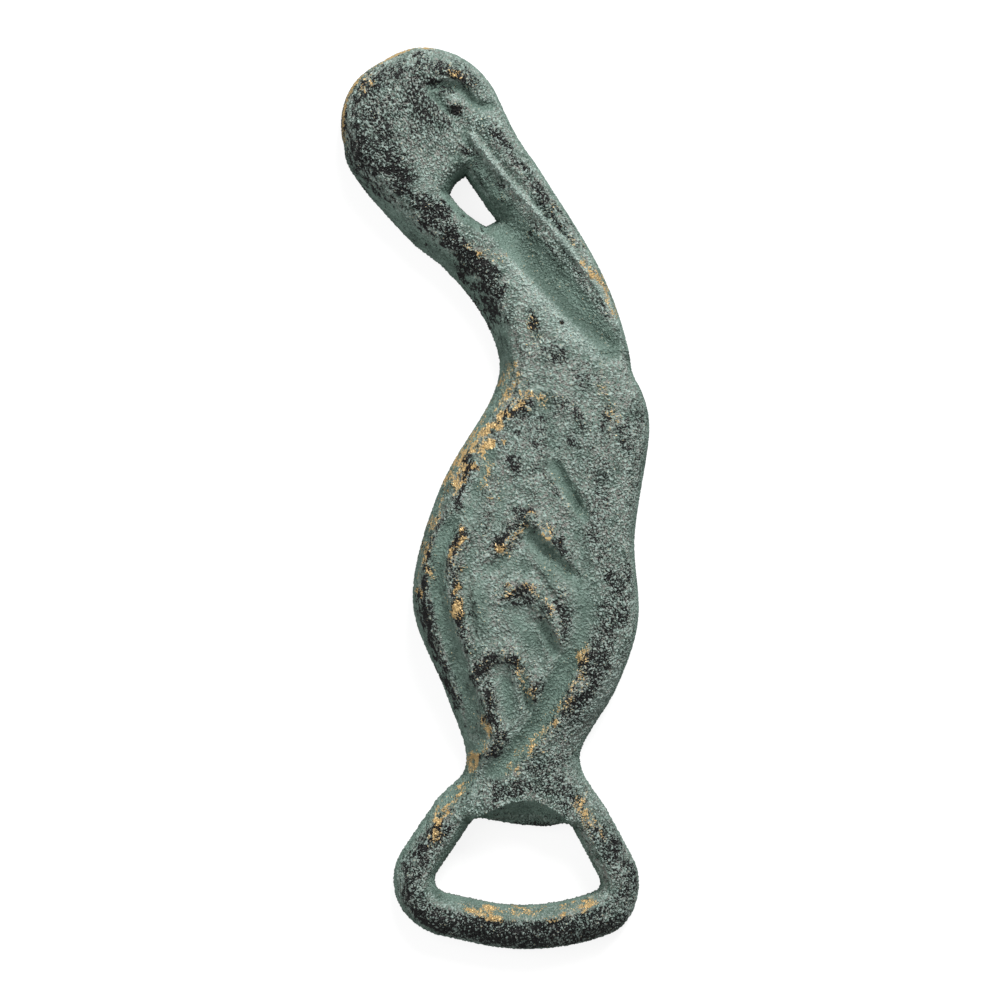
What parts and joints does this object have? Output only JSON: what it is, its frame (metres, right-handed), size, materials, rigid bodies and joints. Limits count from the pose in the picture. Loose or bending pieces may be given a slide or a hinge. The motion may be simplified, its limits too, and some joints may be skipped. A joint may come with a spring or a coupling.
{
  "type": "bottle opener",
  "caption": "Cast iron bottle opener shaped as a long-billed water bird, flat at the back, with a three-sided loop and a cap tooth at its tail.",
  "frame": {"origin": "middle of the plan's box on the flat back face", "axes": "+Z out of the front face, +Y from the opener loop towards the head, +X to the right seen from the front"},
  "size_m": [0.0564, 0.1654, 0.0147],
  "materials": {
    "patinated_iron": "rough sand-cast surface, grey-green patina paint with black and gold dry-brushed high spots"
  },
  "bodies": {
    "root": {"opener_loop": "patinated_iron", "cap_tooth": "patinated_iron", "tail": "patinated_iron", "breast": "patinated_iron", "wing": "patinated_iron", "neck": "patinated_iron", "head": "patinated_iron", "lower_bill": "patinated_iron", "upper_bill": "patinated_iron"}
  },
  "joints": []
}
